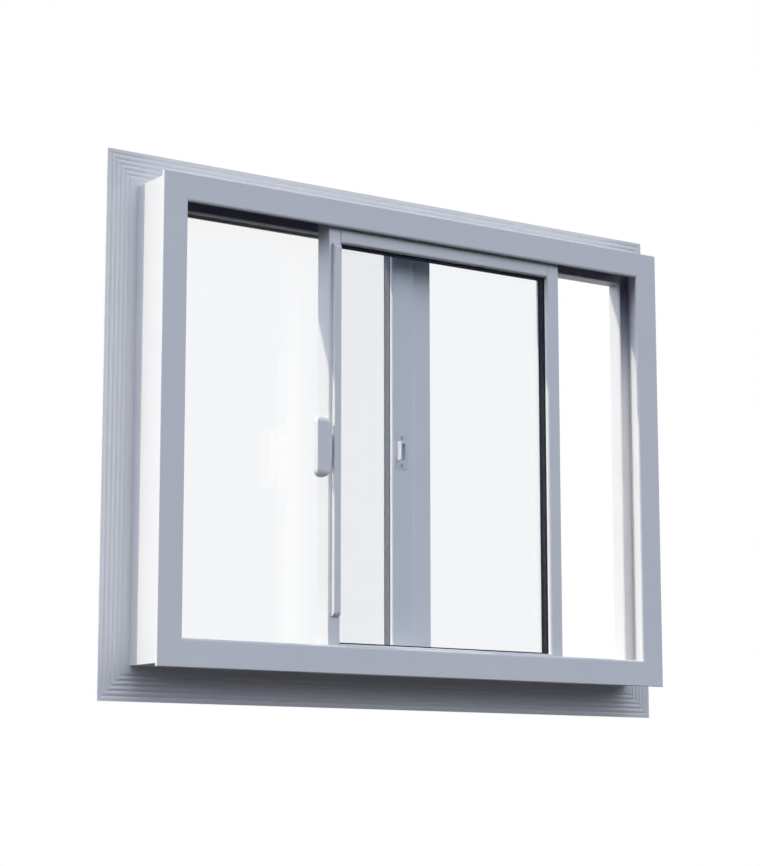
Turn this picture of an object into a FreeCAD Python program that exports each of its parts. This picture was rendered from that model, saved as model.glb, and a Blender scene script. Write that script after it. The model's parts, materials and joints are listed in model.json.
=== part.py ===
"""Horizontal sliding window: a fixed lite, a sliding sash on the room side and a nail fin all round.

Lengths are millimetres. While it is built, x runs to the right from the middle, y runs from the room-side
face towards the outside, and z runs up from the lower edge of the front flange. Each finished piece is then
moved so that the origin lies on the wall face of the sill's nail fin.
"""
import FreeCAD, Part
import math
import os

V = FreeCAD.Vector

# Main frame
frame_width = 785.0
frame_height = 600.0
face_width = 34.5
lip_depth = 4.5
flange_overhang = 4.5
flange_thickness = 3.8
outer_wall = 4.5
edge_radius = 1.0
lip_radius = 3.4

# Rib that parts the sash channel from the outer track
sash_channel = 45.0
rib_thickness = 2.5
head_rib_rise = 23.6
jamb_rib_rise = 14.2

# Track on the sill that carries the sash
track_height = 4.0
track_width = 4.0

# Nail fin
fin_reach = 42.9
fin_thickness = 3.0
groove_count = 5
groove_pitch = 6.1
groove_width = 4.6
groove_depth = 1.3
mount_drop = 5.55

# Insulating glass
pane_thickness = 3.0
pane_gap = 10.0
spacer_height = 8.0
edge_gap = 0.5

# Fixed lite
seal_thickness = 6.0
seal_width = 8.0
seal_reveal = 0.7
fixed_bead_thickness = 3.0
cover_chamfer = 5.0

# Fixed meeting stile
meeting_left = -20.5
meeting_width = 36.0
meeting_setback = 3.5
meeting_rounding = 5.5
meeting_edge_radius = 2.5
meeting_flange_width = 29.3
meeting_flange_setback = 6.0

# Sliding sash
sash_clearance = 5.0
sash_left = -146.8
sash_width = 372.6
sash_thickness = 26.5
sash_foot = 5.0
sash_lift = 11.0
stile_width = 18.6
top_rail_height = 32.5
bottom_rail_height = 19.8
sash_front_lip = 7.0
sash_inner_radius = 3.0
sash_spacer_reveal = 2.0
sash_bead_width = 9.7

# Glides under the sash
glide_length = 30.0
glide_width = 10.0
glide_inset = 30.0
glide_cheek = 2.0
glide_side_gap = 1.0
running_gap = 0.3

# Pull rail along the sash's meeting stile
pull_offset = 4.3
pull_width = 10.3
pull_proud = 7.0
pull_bottom_gap = 33.0
pull_top_gap = 3.0
pull_end_radius = 6.0

# Latch on the sash's meeting stile
latch_height = 282.1
housing_reach = 8.0
housing_depth = 21.0
housing_length = 43.0
housing_radius = 4.0
housing_rounding = 1.5
pivot_inset = 4.2
pivot_radius = 1.5
pivot_play = 0.1
pivot_length = 40.0
lever_reach = 21.0
lever_overlap = 1.7
lever_length = 77.0
lever_thickness = 5.5
lever_skirt = 4.0
lever_wall = 2.5
lever_corner = 8.5
lever_bulge = 4.0
lever_bow = 150.0
lever_end_radius = 9.0
lever_rounding = 0.8
lever_gap = 2.0
knuckle_length = 20.0
knuckle_wall = 1.2
knuckle_gap = 0.7
arm_gap = 1.5
arm_thickness = 2.8
arm_length = 14.0
arm_width = 20.0

# Keeper on the fixed meeting stile
keeper_offset = 4.3
keeper_width = 21.0
keeper_height = 46.0
keeper_rise = 12.4
keeper_thickness = 0.7
keeper_corner = 3.0
stop_offset = 2.6
stop_width = 1.8
stop_length = 24.0
stop_rise = 10.0
stop_rounding = 0.6
slot_offset = 9.8
slot_width = 6.2
slot_length = 22.0
slot_depth = 14.0
screw_inset = 5.0
screw_radius = 2.4
screw_rise = 0.6

# Places that follow from the sizes above
half_width = frame_width / 2
channel_floor = flange_overhang + outer_wall
rib_front = lip_depth + sash_channel
rib_rear = rib_front + rib_thickness
head_rib_tip = channel_floor + head_rib_rise
jamb_rib_tip = channel_floor + jamb_rib_rise
unit_thickness = 2 * pane_thickness + pane_gap
glass_margin = spacer_height + edge_gap

fixed_front = rib_rear + seal_thickness
fixed_rear = fixed_front + unit_thickness
frame_depth = fixed_rear + fixed_bead_thickness
fin_face = frame_depth - fin_thickness

fixed_left = -half_width + jamb_rib_tip + seal_reveal
fixed_bottom = head_rib_tip + seal_reveal
fixed_top = frame_height - fixed_bottom

meeting_front = rib_front + meeting_setback
meeting_right = meeting_left + meeting_width
meeting_flange_right = meeting_right + meeting_flange_width

track_top = channel_floor + track_height
sash_front = lip_depth + sash_clearance
sash_rear = sash_front + sash_thickness
sash_middle = sash_front + sash_thickness / 2
sash_right = sash_left + sash_width
sash_bottom = track_top + sash_foot
sash_top = frame_height - channel_floor - sash_lift
sash_glass_front = sash_front + sash_front_lip
sash_glass_rear = sash_glass_front + unit_thickness
rail_left = sash_left + stile_width
rail_right = sash_right - stile_width
light_bottom = sash_bottom + bottom_rail_height
light_top = sash_top - top_rail_height

pivot_x = sash_left - pivot_inset
pivot_y = sash_front + pivot_inset
lever_rear = sash_front - lever_gap
lever_front = lever_rear - lever_thickness

origin = V(0, fin_face, flange_overhang - mount_drop)


def save(name, shape):
    """Moves a finished piece into the part's frame and writes it."""
    shape.translate(origin * -1)
    shape.exportStep("parts/" + name + ".step")


def outline(points, at):
    """Face through (a, b) corners, each with an optional radius; at(a, b) gives the point in space."""
    bends = []
    for i, point in enumerate(points):
        here = V(point[0], point[1], 0)
        radius = point[2] if len(point) > 2 else 0
        if radius == 0:
            bends.append((here, here, here))
            continue
        before = points[i - 1]
        after = points[(i + 1) % len(points)]
        to_before = (V(before[0], before[1], 0) - here).normalize()
        to_after = (V(after[0], after[1], 0) - here).normalize()
        half_angle = to_before.getAngle(to_after) / 2
        middle = (to_before + to_after).normalize()
        run = radius / math.tan(half_angle)
        bend = here + middle * (radius / math.sin(half_angle) - radius)
        bends.append((here + to_before * run, bend, here + to_after * run))
    edges = []
    for i, (start, bend, end) in enumerate(bends):
        if (end - start).Length > 1e-6:
            edges.append(Part.Arc(at(start.x, start.y), at(bend.x, bend.y), at(end.x, end.y)).toShape())
        following = bends[(i + 1) % len(bends)][0]
        if (following - end).Length > 1e-6:
            edges.append(Part.LineSegment(at(end.x, end.y), at(following.x, following.y)).toShape())
    return Part.Face(Part.Wire(edges))


def rounded_at(shape, depth, radius):
    """Rounds the edges of a solid that lie wholly at one depth."""
    edges = [e for e in shape.Edges if all(abs(v.Point.y - depth) < 1e-6 for v in e.Vertexes)]
    return shape.makeFillet(radius, edges)


def block(x0, x1, y0, y1, z0, z1):
    """Box between two corners."""
    return Part.makeBox(x1 - x0, y1 - y0, z1 - z0, V(x0, y0, z0))


def side_point(side, along, inward, depth):
    """Point on a side of the frame, from its left or lower end and from the flange's outer edge."""
    if side == "head":
        return V(-half_width + along, depth, frame_height - inward)
    if side == "sill":
        return V(-half_width + along, depth, inward)
    if side == "left":
        return V(-half_width + inward, depth, along)
    return V(half_width - inward, depth, along)


def side_bar(side, section, overhang):
    """Bar of an (inward, depth) section along one side, mitred in line with the flange's corners."""
    length = frame_width if side in ("head", "sill") else frame_height
    reach = overhang + face_width
    face = outline(section, lambda u, y: side_point(side, -reach, u, y))
    direction = side_point(side, length + reach, 0, 0) - side_point(side, -reach, 0, 0)
    zone = [(-reach, -reach), (length + reach, -reach),
            (length - 2 * reach, 2 * reach), (2 * reach, 2 * reach)]
    mitre = outline(zone, lambda t, u: side_point(side, t, u, 0)).extrude(V(0, frame_depth, 0))
    return face.extrude(direction).common(mitre)


def frame_section(rib_tip, with_track):
    """Section of a frame member: flange, front lip, sash channel, rib and outer wall."""
    track = [
        (channel_floor, sash_middle - track_width / 2),
        (track_top, sash_middle - track_width / 2, edge_radius),
        (track_top, sash_middle + track_width / 2, edge_radius),
        (channel_floor, sash_middle + track_width / 2),
    ]
    return [
        (0, 0, edge_radius),
        (face_width, 0, lip_radius),
        (face_width, lip_depth, edge_radius),
        (channel_floor, lip_depth),
        *(track if with_track else []),
        (channel_floor, rib_front),
        (rib_tip, rib_front, edge_radius),
        (rib_tip, rib_rear, edge_radius),
        (channel_floor, rib_rear),
        (channel_floor, frame_depth),
        (flange_overhang, frame_depth),
        (flange_overhang, flange_thickness),
        (0, flange_thickness),
    ]


def fin_section():
    """Section of the nail fin, with sealant grooves in its wall face."""
    outer = flange_overhang - fin_reach
    points = [(outer, frame_depth), (outer, fin_face)]
    for i in range(1, groove_count + 1):
        middle = outer + i * groove_pitch
        points.append((middle - groove_width / 2, fin_face))
        points.append((middle, fin_face + groove_depth))
        points.append((middle + groove_width / 2, fin_face))
    points.append((flange_overhang, fin_face))
    points.append((flange_overhang, frame_depth))
    return points


def cover_section(rib_tip):
    """Section of the strip that fills the outer track, level with the rib, where no glass stands in it."""
    return [
        (rib_tip, rib_rear),
        (channel_floor, rib_rear),
        (channel_floor, frame_depth),
        (rib_tip - cover_chamfer, frame_depth),
        (rib_tip, frame_depth - cover_chamfer),
    ]


def make_frame():
    """Four frame members, the four strips of the nail fin and the covers of the empty outer track."""
    for side in ("head", "sill", "left", "right"):
        upright = side in ("left", "right")
        rib_tip = jamb_rib_tip if upright else head_rib_tip
        section = frame_section(rib_tip, side == "sill")
        save("frame_" + side + ("_jamb" if upright else ""), side_bar(side, section, 0))
        save("nail_fin_" + side, side_bar(side, fin_section(), fin_reach))
    jamb = outline(cover_section(jamb_rib_tip), lambda u, y: V(half_width - u, y, channel_floor))
    save("right_jamb_cover", jamb.extrude(V(0, 0, frame_height - 2 * channel_floor)))
    head = outline(cover_section(head_rib_tip), lambda u, y: V(meeting_flange_right, y, frame_height - u))
    save("head_cover", head.extrude(V(half_width - jamb_rib_tip - meeting_flange_right, 0, 0)))


def make_glass_unit(name, x0, x1, z0, z1, front):
    """Two panes and the spacer ring between them, whose inner edges are the given sight lines."""
    gap_front = front + pane_thickness
    gap_rear = gap_front + pane_gap
    for pane, y0 in (("inner", front), ("outer", gap_rear)):
        save(name + "_glass_" + pane, block(x0 - glass_margin, x1 + glass_margin, y0, y0 + pane_thickness,
                                            z0 - glass_margin, z1 + glass_margin))
    ring = block(x0 - spacer_height, x1 + spacer_height, gap_front, gap_rear,
                 z0 - spacer_height, z1 + spacer_height)
    save(name + "_spacer", ring.cut(block(x0, x1, gap_front, gap_rear, z0, z1)))


def make_fixed_lite():
    """Fixed glass between a seal on the room side and beads on the outside."""
    make_glass_unit("fixed", fixed_left, meeting_left, fixed_bottom, fixed_top, fixed_front)
    floor_left = -half_width + channel_floor
    floor_top = frame_height - channel_floor
    y0, y1 = fixed_rear, frame_depth
    save("fixed_bead_head", block(floor_left, meeting_left, y0, y1, fixed_top, floor_top))
    save("fixed_bead_sill", block(floor_left, meeting_left, y0, y1, channel_floor, fixed_bottom))
    save("fixed_bead_left", block(floor_left, fixed_left, y0, y1, fixed_bottom, fixed_top))
    strips = [
        block(fixed_left, meeting_left, rib_rear, fixed_front, fixed_top, fixed_top + seal_width),
        block(fixed_left, meeting_left, rib_rear, fixed_front, fixed_bottom - seal_width, fixed_bottom),
        block(fixed_left - seal_width, fixed_left, rib_rear, fixed_front, fixed_bottom + edge_gap,
              fixed_top - edge_gap),
    ]
    save("fixed_seal", Part.makeCompound(strips))


def make_meeting_stile():
    """Upright between the lites: front bar, set-back flange, glazing groove and the keeper's slot."""
    flange_front = meeting_front + meeting_flange_setback
    groove = meeting_left + glass_margin + edge_gap
    section = [
        (meeting_left, meeting_front, meeting_edge_radius),
        (meeting_right, meeting_front, meeting_rounding),
        (meeting_right, flange_front),
        (meeting_flange_right, flange_front, edge_radius),
        (meeting_flange_right, frame_depth, edge_radius),
        (meeting_left, frame_depth),
        (meeting_left, fixed_rear),
        (groove, fixed_rear),
        (groove, fixed_front),
        (meeting_left, fixed_front),
    ]
    face = outline(section, lambda x, y: V(x, y, channel_floor))
    stile = face.extrude(V(0, 0, frame_height - 2 * channel_floor))
    save("fixed_meeting_stile", stile.cut(keeper_slot()))


def keeper_box(offset, width, length, y0, y1):
    """Box on the keeper, from its left edge and centred on its height."""
    x0 = meeting_left + keeper_offset + offset
    middle = latch_height + keeper_rise
    return block(x0, x0 + width, y0, y1, middle - length / 2, middle + length / 2)


def keeper_slot():
    """Slot that takes the latch's nose, through the keeper and into the stile."""
    front, rear = meeting_front - stop_rise, meeting_front + slot_depth
    return keeper_box(slot_offset, slot_width, slot_length, front, rear)


def make_keeper():
    """Keeper plate with a raised stop beside its slot, and its two screws."""
    left = meeting_left + keeper_offset
    middle = latch_height + keeper_rise
    bottom = middle - keeper_height / 2
    top = middle + keeper_height / 2
    corners = [(left, bottom), (left + keeper_width, bottom), (left + keeper_width, top), (left, top)]
    face = outline([(x, z, keeper_corner) for x, z in corners], lambda x, z: V(x, meeting_front, z))
    plate = face.extrude(V(0, -keeper_thickness, 0))
    stop = keeper_box(stop_offset, stop_width, stop_length, meeting_front - stop_rise, meeting_front)
    stop = rounded_at(stop, meeting_front - stop_rise, stop_rounding)
    save("keeper", plate.fuse(stop).cut(keeper_slot()).removeSplitter())
    screws = []
    for z in (bottom + screw_inset, top - screw_inset):
        seat = V(left + keeper_width / 2, meeting_front - keeper_thickness, z)
        screws.append(Part.makeCylinder(screw_radius, screw_rise, seat, V(0, -1, 0)))
    save("keeper_screws", Part.makeCompound(screws))


def sash_section(width):
    """Section of a sash member: front lip, glass rebate and seat of the outside bead."""
    rebate = width - (glass_margin - sash_spacer_reveal) - edge_gap
    bead_seat = width - sash_bead_width
    return [
        (0, sash_front, edge_radius),
        (width, sash_front, sash_inner_radius),
        (width, sash_glass_front),
        (rebate, sash_glass_front),
        (rebate, sash_glass_rear),
        (bead_seat, sash_glass_rear),
        (bead_seat, sash_rear),
        (0, sash_rear, edge_radius),
    ]


def make_pull_rail():
    """Raised rail to pull the sash by, with rounded run-outs at both ends."""
    x0 = sash_left + pull_offset
    front = sash_front - pull_proud
    z0 = light_bottom + pull_bottom_gap
    z1 = light_top - pull_top_gap
    section = [(x0, sash_front), (x0, front, edge_radius), (x0 + pull_width, front, edge_radius),
               (x0 + pull_width, sash_front)]
    bar = outline(section, lambda x, y: V(x, y, z0)).extrude(V(0, 0, z1 - z0))
    side = [(sash_front, z0), (front, z0, pull_end_radius), (front, z1, pull_end_radius), (sash_front, z1)]
    return bar.common(outline(side, lambda y, z: V(x0, y, z)).extrude(V(pull_width, 0, 0)))


def make_sash():
    """Sash stiles, rails, glass, outside beads and glides."""
    up = V(0, 0, sash_top - sash_bottom)
    across = V(rail_right - rail_left, 0, 0)
    stile = sash_section(stile_width)
    left_stile = outline(stile, lambda s, y: V(sash_left + s, y, sash_bottom)).extrude(up)
    save("sash_meeting_stile", left_stile.fuse(make_pull_rail()).removeSplitter())
    save("sash_right_stile", outline(stile, lambda s, y: V(sash_right - s, y, sash_bottom)).extrude(up))
    top_rail = outline(sash_section(top_rail_height), lambda s, y: V(rail_left, y, sash_top - s))
    save("sash_top_rail", top_rail.extrude(across))
    bottom_rail = outline(sash_section(bottom_rail_height), lambda s, y: V(rail_left, y, sash_bottom + s))
    save("sash_bottom_rail", bottom_rail.extrude(across))

    make_glass_unit("sash", rail_left + sash_spacer_reveal, rail_right - sash_spacer_reveal,
                    light_bottom + sash_spacer_reveal, light_top - sash_spacer_reveal, sash_glass_front)

    y0, y1 = sash_glass_rear, sash_rear
    save("sash_bead_left", block(rail_left - sash_bead_width, rail_left, y0, y1, sash_bottom, sash_top))
    save("sash_bead_right", block(rail_right, rail_right + sash_bead_width, y0, y1, sash_bottom, sash_top))
    for name, z0 in (("sash_bead_top", light_top), ("sash_bead_bottom", light_bottom - sash_bead_width)):
        save(name, block(rail_left, rail_right, y0, y1, z0, z0 + sash_bead_width))

    glides = []
    for x0 in (sash_left + glide_inset, sash_right - glide_inset - glide_length):
        half = glide_width / 2
        glide = block(x0, x0 + glide_length, sash_middle - half, sash_middle + half,
                      track_top - glide_cheek, sash_bottom)
        half = track_width / 2 + glide_side_gap
        glides.append(glide.cut(block(x0, x0 + glide_length, sash_middle - half, sash_middle + half,
                                      track_top - glide_cheek, track_top + running_gap)))
    save("sash_glides", Part.makeCompound(glides))


def pivot_rod(radius, length):
    """Upright cylinder on the latch's pivot, centred on the latch's height."""
    return Part.makeCylinder(radius, length, V(pivot_x, pivot_y, latch_height - length / 2))


def make_paddle():
    """Front of the lever: a bowed plate with rounded ends and a skirt around its back."""
    left = sash_left - lever_reach
    right = sash_left + lever_overlap
    shoulder = right - lever_bulge
    bottom = latch_height - lever_length / 2
    top = latch_height + lever_length / 2
    corners = [(left, bottom, lever_corner), (shoulder, bottom, lever_corner),
               (right, latch_height, lever_bow), (shoulder, top, lever_corner), (left, top, lever_corner)]
    depth = lever_thickness + lever_skirt
    rear = lever_front + depth
    plate = outline(corners, lambda x, z: V(x, lever_front, z)).extrude(V(0, depth, 0))
    side = [(rear, bottom), (lever_front, bottom, lever_end_radius),
            (lever_front, top, lever_end_radius), (rear, top)]
    plate = plate.common(outline(side, lambda y, z: V(left, y, z)).extrude(V(right - left, 0, 0)))
    skirt_right = sash_left - lever_gap
    inner = lever_corner - lever_wall
    hollow = [(left + lever_wall, bottom + lever_wall, inner), (skirt_right, bottom + lever_wall),
              (skirt_right, top - lever_wall), (left + lever_wall, top - lever_wall, inner)]
    hollow = outline(hollow, lambda x, z: V(x, lever_rear, z)).extrude(V(0, lever_skirt, 0))
    beside = block(skirt_right, right, lever_rear, rear, bottom, top)
    plate = plate.cut(hollow).cut(beside)
    at_front = [e for e in plate.Edges if e.BoundBox.YMax < lever_front + 1e-6]
    return plate.makeFillet(lever_rounding, [e for e in at_front if e.BoundBox.ZLength > lever_wall])


def make_latch():
    """Latch housing on the stile's edge, its pivot pin and the sprung lever with its nose."""
    left = sash_left - housing_reach
    bottom = latch_height - housing_length / 2
    top = latch_height + housing_length / 2
    corners = [(left, bottom, housing_radius), (sash_left, bottom),
               (sash_left, top), (left, top, housing_radius)]
    housing = outline(corners, lambda x, z: V(x, sash_front, z)).extrude(V(0, housing_depth, 0))
    housing = rounded_at(housing, sash_front + housing_depth, housing_rounding)
    knuckle_radius = pivot_radius + pivot_play + knuckle_wall
    room = knuckle_radius + knuckle_gap
    half = knuckle_length / 2 + knuckle_gap
    notch = block(left, sash_left, sash_front, pivot_y + room, latch_height - half, latch_height + half)
    save("latch_housing", housing.cut(notch).cut(pivot_rod(pivot_radius, pivot_length)))
    save("latch_pin", pivot_rod(pivot_radius, pivot_length))

    root = lever_front + lever_thickness / 2
    web = block(pivot_x - knuckle_radius, pivot_x + knuckle_radius, root, pivot_y,
                latch_height - knuckle_length / 2, latch_height + knuckle_length / 2)
    knuckle = pivot_rod(knuckle_radius, knuckle_length)
    arm_right = sash_left - housing_reach - arm_gap
    arm_middle = latch_height + keeper_rise
    arm = block(arm_right - arm_thickness, arm_right, root, sash_front + arm_length,
                arm_middle - arm_width / 2, arm_middle + arm_width / 2)
    lever = make_paddle().fuse([web, knuckle, arm]).removeSplitter()
    save("latch_lever", lever.cut(pivot_rod(pivot_radius + pivot_play, pivot_length)))


os.makedirs("parts", exist_ok=True)
make_frame()
make_fixed_lite()
make_meeting_stile()
make_keeper()
make_sash()
make_latch()
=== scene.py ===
"""Looks of the horizontal sliding window: finishes, light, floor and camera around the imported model.

Lengths are metres, in the model's own frame: +X to the right seen from the room, +Y towards the outside
and +Z up.
"""
import bpy
import json
import math
from mathutils import Matrix, Vector


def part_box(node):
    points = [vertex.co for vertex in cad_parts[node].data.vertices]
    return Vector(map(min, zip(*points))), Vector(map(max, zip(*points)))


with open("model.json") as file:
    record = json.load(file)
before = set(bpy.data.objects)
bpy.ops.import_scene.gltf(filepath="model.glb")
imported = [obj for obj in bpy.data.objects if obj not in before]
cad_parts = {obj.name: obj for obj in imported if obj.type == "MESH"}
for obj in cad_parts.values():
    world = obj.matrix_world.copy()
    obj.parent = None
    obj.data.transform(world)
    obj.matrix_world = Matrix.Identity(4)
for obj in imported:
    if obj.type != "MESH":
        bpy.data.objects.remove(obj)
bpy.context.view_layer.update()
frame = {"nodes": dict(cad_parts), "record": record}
scene = bpy.context.scene
scene.view_settings.view_transform = "Standard"

# Camera, fitted to the corners and edges of the window in the photograph
PHOTO_HEIGHT_PX = 866
FOCAL_PX = 2324.1
SENSOR = 36.0
CAMERA_PLACE = Vector((-1.7276, -2.4630, -0.17155))
CAMERA_YAW = math.radians(34.67)
CAMERA_PITCH = math.radians(9.35)

# Sun, tint of the soft light, and the room that the glass mirrors
TOWARDS_SUN = Vector((-0.642, 0.262, 0.7205))
SUN_STRENGTH = 2.35
SUN_COLOUR = (1.0, 0.91, 0.70)
SUN_ANGLE = math.radians(1.5)
SKY_TINT = (0.935, 1.0, 1.18)
ROOM_COLOUR = (0.13, 0.20, 0.36)

# Soft light: its strength at the first four heights of the sky, in even steps round the window from the front
# by the left, the rear and the right; it fades to nothing at the fifth height
LIGHT_HEIGHTS = (-0.05, 0.05, 0.35, 0.7, 0.95)
LIGHT_AROUND = (
    (0.0, 0.0, 0.0, 0.0, 0.1, 0.4, 0.2, 0.0),
    (0.53, 0.0, 0.8, 1.5, 0.0, 0.0, 0.0, 0.0),
    (3.13, 0.0, 3.4, 4.6, 0.4, 0.6, 1.4, 0.9),
    (2.60, 0.0, 1.15, 1.0, 0.0, 0.0, 0.0, 0.0),
)

# Painted shade deep in a bar's own channels, by the share of its surroundings that the bar leaves open
# within the reach; on an upright bar this shade fades out downwards, from the top height to the foot height
PAINTED_SHADE_COLOUR = (0.175, 0.175, 0.27)
PAINTED_SHADE_REACH = 0.08
PAINTED_SHADE_DEEP = 0.42
PAINTED_SHADE_OPEN = 0.72
PAINTED_SHADE_SAMPLES = 8
PAINTED_SHADE_TOP = 0.58
PAINTED_SHADE_FOOT = 0.42

# Vinyl: how much finer the lines of the extrusion die are across a bar than along it
DIE_LINES = 260.0

# Glass: below the index of real float glass, for reflections as faint as in the photograph
GLASS_INDEX = 1.37

# Span of a noise texture that is mapped, and the colour sockets of a Mix node
NOISE_LOW = 0.3
NOISE_HIGH = 0.7
MIX_FIRST = 6
MIX_SECOND = 7
MIX_RESULT = 2

# Floor and the wall behind the camera that the glass mirrors
FLOOR_DROP = 1.0
FLOOR_SIZE = 6.0
ROOM_WALL_PLACE = Vector((2.0, -5.0, 1.5))
ROOM_WALL_SIZE = (16.0, 7.0)


def add_node(tree, kind, inputs=None, **properties):
    """Adds a shader node; an input is a plain value or another node's output."""
    made = tree.nodes.new("ShaderNode" + kind)
    for name, value in properties.items():
        setattr(made, name, value)
    for name, value in (inputs or {}).items():
        if isinstance(value, bpy.types.NodeSocket):
            tree.links.new(value, made.inputs[name])
        else:
            made.inputs[name].default_value = value
    return made


def start_material(name):
    """Empty node material."""
    material = bpy.data.materials.new(name)
    material.use_nodes = True
    material.node_tree.nodes.clear()
    return material


def noise(tree, place, scale, detail=2.0):
    """Noise around 0.5 over a place output."""
    return add_node(tree, "TexNoise", {"Vector": place, "Scale": scale, "Detail": detail}).outputs["Fac"]


def stretched(tree, scale):
    """The piece's own coordinates, scaled on each axis."""
    place = add_node(tree, "TexCoord").outputs["Object"]
    return add_node(tree, "Mapping", {"Vector": place, "Scale": scale}).outputs["Vector"]


def maths(tree, operation, first, second):
    """Result of an operation on two outputs or plain numbers."""
    return add_node(tree, "Math", {0: first, 1: second}, operation=operation).outputs[0]


def share_of(tree, value, start, end, **properties):
    """Share that goes from 0 to 1 as a value goes from start to end."""
    inputs = {"Value": value, "From Min": start, "From Max": end}
    return add_node(tree, "MapRange", inputs, **properties).outputs["Result"]


def ranged(tree, value, low, high):
    """Noise mapped to a range of plain numbers."""
    inputs = {"Value": value, "From Min": NOISE_LOW, "From Max": NOISE_HIGH, "To Min": low, "To Max": high}
    return add_node(tree, "MapRange", inputs).outputs["Result"]


def shades(tree, value, dark, light):
    """Noise mapped to a colour between two near ones."""
    ramp = add_node(tree, "ValToRGB", {"Fac": value})
    for stop, position, colour in zip(ramp.color_ramp.elements, (NOISE_LOW, NOISE_HIGH), (dark, light)):
        stop.position = position
        stop.color = (*colour, 1)
    return ramp.outputs["Color"]


def bumped(tree, height, strength, depth, normal=None):
    """Normal of a surface that a height output roughens, over another normal if one is given."""
    inputs = {"Height": height, "Strength": strength, "Distance": depth}
    if normal:
        inputs["Normal"] = normal
    return add_node(tree, "Bump", inputs).outputs["Normal"]


def colour_mix(tree, share, first, second):
    """Colour between two as a share goes from 0 to 1; each is a plain colour or another node's output."""
    mix = add_node(tree, "Mix", {"Factor": share}, data_type="RGBA")
    for socket, colour in ((mix.inputs[MIX_FIRST], first), (mix.inputs[MIX_SECOND], second)):
        if isinstance(colour, bpy.types.NodeSocket):
            tree.links.new(colour, socket)
        else:
            socket.default_value = (*colour, 1)
    return mix.outputs[MIX_RESULT]


def blended(tree, value, start, end, first, second):
    """Colour that goes from one to another as a value goes from start to end."""
    return colour_mix(tree, share_of(tree, value, start, end), first, second)


def shader_mix(tree, share, first, second):
    """Shader between two as a share goes from 0 to 1."""
    return add_node(tree, "MixShader", {0: share, 1: first.outputs[0], 2: second.outputs[0]})


def ringed(tree, turn, strengths):
    """Sky light that goes round a ring of even steps as a turn goes from 0 to 1."""
    ramp = add_node(tree, "ValToRGB", {"Fac": turn})
    stops = ramp.color_ramp.elements
    for i in range(1, len(strengths)):
        stops.new(i / len(strengths))
    for stop, strength in zip(stops, [*strengths, strengths[0]]):
        stop.color = (*(strength * tint for tint in SKY_TINT), 1)
    return ramp.outputs["Color"]


def show(tree, shader):
    """Puts a shader on the material's output."""
    add_node(tree, "OutputMaterial", {"Surface": shader.outputs[0]})


def with_painted_shade(tree, colour, upright):
    """Colour with painted shade deep in a bar's own channels, and in an upright one only near the head."""
    # Painted shade: a blue grey stands in for the shade deep in the bar's own channels, where its ambient
    # occlusion is low
    reach = {"Distance": PAINTED_SHADE_REACH}
    around = add_node(tree, "AmbientOcclusion", reach, only_local=True, samples=PAINTED_SHADE_SAMPLES).outputs["AO"]
    unshaded = share_of(tree, around, PAINTED_SHADE_DEEP, PAINTED_SHADE_OPEN, interpolation_type="SMOOTHSTEP")
    if upright:
        place = add_node(tree, "TexCoord").outputs["Object"]
        height = add_node(tree, "SeparateXYZ", {"Vector": place}).outputs["Z"]
        below = share_of(tree, height, PAINTED_SHADE_TOP, PAINTED_SHADE_FOOT, interpolation_type="SMOOTHSTEP")
        unshaded = maths(tree, "MAXIMUM", unshaded, below)
    return colour_mix(tree, unshaded, PAINTED_SHADE_COLOUR, colour)


def vinyl(name, along, dark=(0.800, 0.804, 0.812), light=(0.828, 0.830, 0.834)):
    """Satin white vinyl with the faint lines an extrusion die leaves along a bar, and painted shade in its
    channels.
    """
    material = start_material(name)
    tree = material.node_tree
    line_scale = [1.0 if axis == along else DIE_LINES for axis in "xyz"]
    lines = noise(tree, stretched(tree, line_scale), 5.0, 3.0)
    even = stretched(tree, (1, 1, 1))
    clouds = noise(tree, even, 14.0, 4.0)
    peel = noise(tree, even, 900.0, 2.0)
    plain = shades(tree, clouds, dark, light)
    ridged = bumped(tree, lines, 0.12, 0.0002)
    show(tree, add_node(tree, "BsdfPrincipled", {
        # Base colour with painted shade deep in the bar's channels
        "Base Color": with_painted_shade(tree, plain, along == "z"),
        "Roughness": ranged(tree, lines, 0.44, 0.54),
        "Specular IOR Level": 0.3,
        "Normal": bumped(tree, peel, 0.06, 0.0002, ridged),
    }))
    return material


def glass():
    """Clear float glass that lamps and soft light pass."""
    material = start_material("float_glass")
    tree = material.node_tree
    waves = noise(tree, stretched(tree, (1, 1, 1)), 3.0, 1.0)
    path = add_node(tree, "LightPath").outputs
    lit = maths(tree, "MAXIMUM", path["Is Shadow Ray"], path["Is Diffuse Ray"])
    body = add_node(tree, "BsdfPrincipled", {
        "Base Color": shades(tree, waves, (0.994, 0.996, 0.998), (0.998, 0.999, 1.0)),
        "Roughness": 0.0,
        "IOR": GLASS_INDEX,
        "Transmission Weight": 1.0,
    })
    clear = add_node(tree, "BsdfTransparent", {"Color": (0.99, 0.995, 0.995, 1)})
    show(tree, shader_mix(tree, lit, body, clear))
    return material


def spacer(name, dark, light):
    """Warm-edge spacer with a faintly rippled sealant face."""
    material = start_material(name)
    tree = material.node_tree
    ripple = noise(tree, stretched(tree, (1, 1, 1)), 160.0, 3.0)
    show(tree, add_node(tree, "BsdfPrincipled", {
        "Base Color": shades(tree, ripple, dark, light),
        "Roughness": ranged(tree, ripple, 0.75, 0.90),
        "Specular IOR Level": 0.04,
        "Normal": bumped(tree, ripple, 0.3, 0.0003),
    }))
    return material


def glazing_seal():
    """Pale soft vinyl glazing seal."""
    material = start_material("seal_rubber")
    tree = material.node_tree
    grain = noise(tree, stretched(tree, (1, 1, 1)), 700.0, 3.0)
    show(tree, add_node(tree, "BsdfPrincipled", {
        "Base Color": shades(tree, grain, (0.80, 0.80, 0.81), (0.86, 0.86, 0.87)),
        "Roughness": ranged(tree, grain, 0.55, 0.75),
        "Normal": bumped(tree, grain, 0.25, 0.0002),
    }))
    return material


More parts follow.
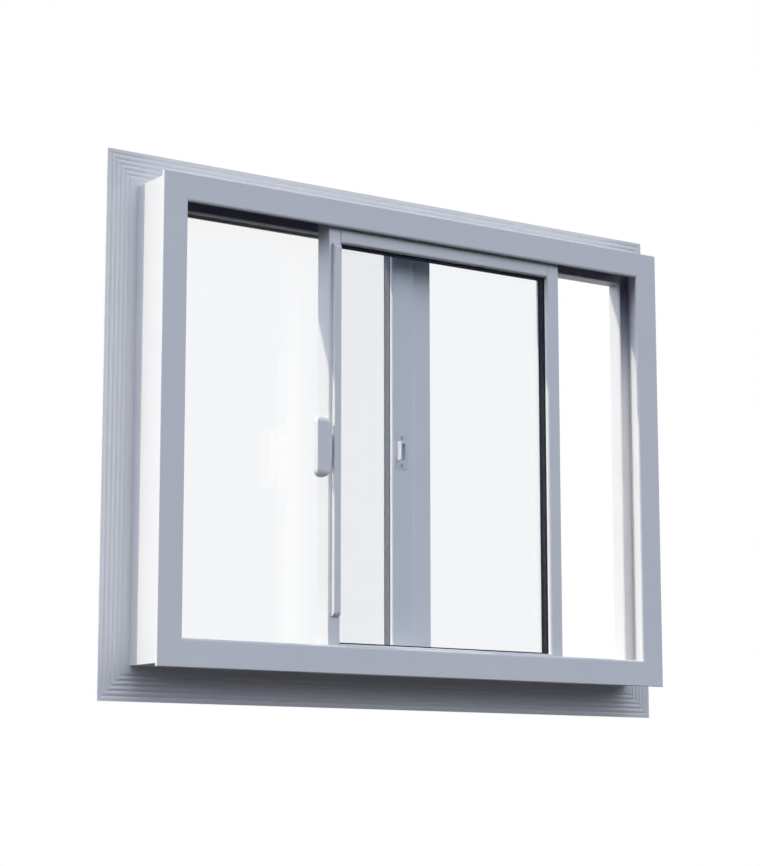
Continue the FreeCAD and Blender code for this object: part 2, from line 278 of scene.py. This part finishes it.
def moulded_plastic():
    """White moulded plastic of the latch and keeper, with a fine spark texture."""
    material = start_material("moulded_plastic")
    tree = material.node_tree
    even = stretched(tree, (1, 1, 1))
    spark = noise(tree, even, 1800.0, 2.0)
    clouds = noise(tree, even, 40.0, 3.0)
    show(tree, add_node(tree, "BsdfPrincipled", {
        "Base Color": shades(tree, clouds, (0.82, 0.825, 0.835), (0.86, 0.863, 0.868)),
        "Roughness": ranged(tree, clouds, 0.28, 0.40),
        "IOR": 1.5,
        "Normal": bumped(tree, spark, 0.15, 0.0001),
    }))
    return material


def zinc_steel():
    """Bright zinc-plated steel with turning marks."""
    material = start_material("zinc_steel")
    tree = material.node_tree
    marks = noise(tree, stretched(tree, (900, 900, 900)), 1.0, 3.0)
    show(tree, add_node(tree, "BsdfPrincipled", {
        "Base Color": shades(tree, marks, (0.55, 0.55, 0.56), (0.70, 0.70, 0.71)),
        "Metallic": 1.0,
        "Roughness": ranged(tree, marks, 0.25, 0.45),
    }))
    return material


def natural_nylon():
    """Off-white nylon of the glides."""
    material = start_material("natural_nylon")
    tree = material.node_tree
    clouds = noise(tree, stretched(tree, (1, 1, 1)), 120.0, 4.0)
    show(tree, add_node(tree, "BsdfPrincipled", {
        "Base Color": shades(tree, clouds, (0.74, 0.73, 0.70), (0.80, 0.79, 0.76)),
        "Roughness": ranged(tree, clouds, 0.40, 0.55),
    }))
    return material


def pale_floor():
    """Pale floor that sends little light back up to the window."""
    material = start_material("pale_floor")
    tree = material.node_tree
    clouds = noise(tree, stretched(tree, (1, 1, 1)), 3.0, 5.0)
    tone = shades(tree, clouds, (0.80, 0.80, 0.80), (0.84, 0.84, 0.84))
    pale = add_node(tree, "BsdfDiffuse", {"Color": tone})
    dim = add_node(tree, "BsdfDiffuse", {"Color": (0.03, 0.03, 0.035, 1)})
    show(tree, shader_mix(tree, add_node(tree, "LightPath").outputs["Is Diffuse Ray"], pale, dim))
    return material


def room_wall_finish():
    """Even blue grey of the wall that the glass mirrors; rays that were never mirrored pass it."""
    material = start_material("room_wall")
    tree = material.node_tree
    depth = add_node(tree, "LightPath").outputs["Glossy Depth"]
    mirrored = maths(tree, "GREATER_THAN", depth, 0.5)
    clear = add_node(tree, "BsdfTransparent", {"Color": (1, 1, 1, 1)})
    grey = add_node(tree, "Emission", {"Color": (*ROOM_COLOUR, 1), "Strength": 1.0})
    show(tree, shader_mix(tree, mirrored, clear, grey))
    return material


def dress_model():
    """Gives each node its own finish or its slot's, and other vinyl bars the lines of their own direction."""
    finishes = {
        "glass": glass(),
        "spacer": spacer("dark_spacer", (0.010, 0.010, 0.013), (0.020, 0.020, 0.025)),
        "fixed_spacer": spacer("grey_spacer", (0.195, 0.195, 0.20), (0.235, 0.235, 0.24)),
        "seal": glazing_seal(),
        "latch_plastic": moulded_plastic(),
        "steel": zinc_steel(),
        "nylon": natural_nylon(),
    }
    level = vinyl("vinyl_level", "x")
    upright = vinyl("vinyl_upright", "z")
    # Lighter copy of the vinyl on the fixed meeting stile: painted light, for the brighter light that falls
    # on this stile
    finishes["fixed_meeting_stile"] = vinyl("vinyl_stile_painted_light", "z", (0.885, 0.885, 0.888), (0.912, 0.912, 0.914))
    for part in frame["record"]["subparts"]:
        name = part["node"]
        low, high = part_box(name)
        bar = level if high.x - low.x > high.z - low.z else upright
        mesh = frame["nodes"][name].data
        mesh.materials.clear()
        mesh.materials.append(finishes.get(name) or finishes.get(part["material_slot"], bar))


def flat_sheet(name, width, depth, material):
    """Flat rectangle in its own XY plane."""
    mesh = bpy.data.meshes.new(name)
    x, y = width / 2, depth / 2
    mesh.from_pydata([(-x, -y, 0), (x, -y, 0), (x, y, 0), (-x, y, 0)], [], [(0, 1, 2, 3)])
    mesh.materials.append(material)
    sheet = bpy.data.objects.new(name, mesh)
    scene.collection.objects.link(sheet)
    return sheet


def set_stage():
    """Floor under the window and the wall behind the camera."""
    floor = flat_sheet("floor", FLOOR_SIZE, FLOOR_SIZE, pale_floor())
    floor.location.z = -FLOOR_DROP
    wall = flat_sheet("room_wall", *ROOM_WALL_SIZE, room_wall_finish())
    wall.location = ROOM_WALL_PLACE
    wall.rotation_euler.x = -math.pi / 2
    wall.visible_diffuse = False
    wall.visible_shadow = False


def set_sun():
    """Sun from the left, above and behind."""
    lamp = bpy.data.lights.new("sun", "SUN")
    lamp.energy = SUN_STRENGTH
    lamp.color = SUN_COLOUR
    lamp.angle = SUN_ANGLE
    sun = bpy.data.objects.new("sun", lamp)
    sun.rotation_euler = TOWARDS_SUN.to_track_quat("Z", "Y").to_euler()
    scene.collection.objects.link(sun)


def set_sky():
    """Soft light from the sky, and a white background."""
    world = bpy.data.worlds.new("studio")
    scene.world = world
    world.use_nodes = True
    tree = world.node_tree
    tree.nodes.clear()
    place = add_node(tree, "TexCoord").outputs["Generated"]
    look = add_node(tree, "SeparateXYZ", {"Vector": place}).outputs
    turn = share_of(tree, maths(tree, "ARCTAN2", look["X"], look["Y"]), -math.pi, math.pi)
    light, *rest = [ringed(tree, turn, strengths) for strengths in LIGHT_AROUND]
    for (start, end), upper in zip(zip(LIGHT_HEIGHTS, LIGHT_HEIGHTS[1:]), [*rest, (0, 0, 0)]):
        light = blended(tree, look["Z"], start, end, light, upper)
    soft = add_node(tree, "Background", {"Color": light, "Strength": 1.0})
    white = add_node(tree, "Background", {"Color": (1, 1, 1, 1), "Strength": 1.0})
    path = add_node(tree, "LightPath").outputs
    mirrored = maths(tree, "MAXIMUM", path["Is Glossy Ray"], path["Is Transmission Ray"])
    seen = maths(tree, "MAXIMUM", path["Is Camera Ray"], mirrored)
    direct = maths(tree, "LESS_THAN", path["Diffuse Depth"], 0.5)
    mixed = shader_mix(tree, maths(tree, "MULTIPLY", seen, direct), soft, white)
    add_node(tree, "OutputWorld", {"Surface": mixed.outputs[0]})


def set_camera():
    """Camera at the photograph's viewpoint."""
    forward = Vector((math.sin(CAMERA_YAW) * math.cos(CAMERA_PITCH),
                      math.cos(CAMERA_YAW) * math.cos(CAMERA_PITCH),
                      math.sin(CAMERA_PITCH)))
    right = Vector((math.cos(CAMERA_YAW), -math.sin(CAMERA_YAW), 0))
    up = right.cross(forward)
    lens = bpy.data.cameras.new("camera")
    lens.sensor_width = SENSOR
    lens.lens = FOCAL_PX / PHOTO_HEIGHT_PX * SENSOR
    camera = bpy.data.objects.new("camera", lens)
    turned = Matrix((right, up, -forward)).transposed().to_4x4()
    camera.matrix_world = Matrix.Translation(CAMERA_PLACE) @ turned
    scene.collection.objects.link(camera)
    scene.camera = camera


dress_model()
set_stage()
set_sun()
set_sky()
set_camera()
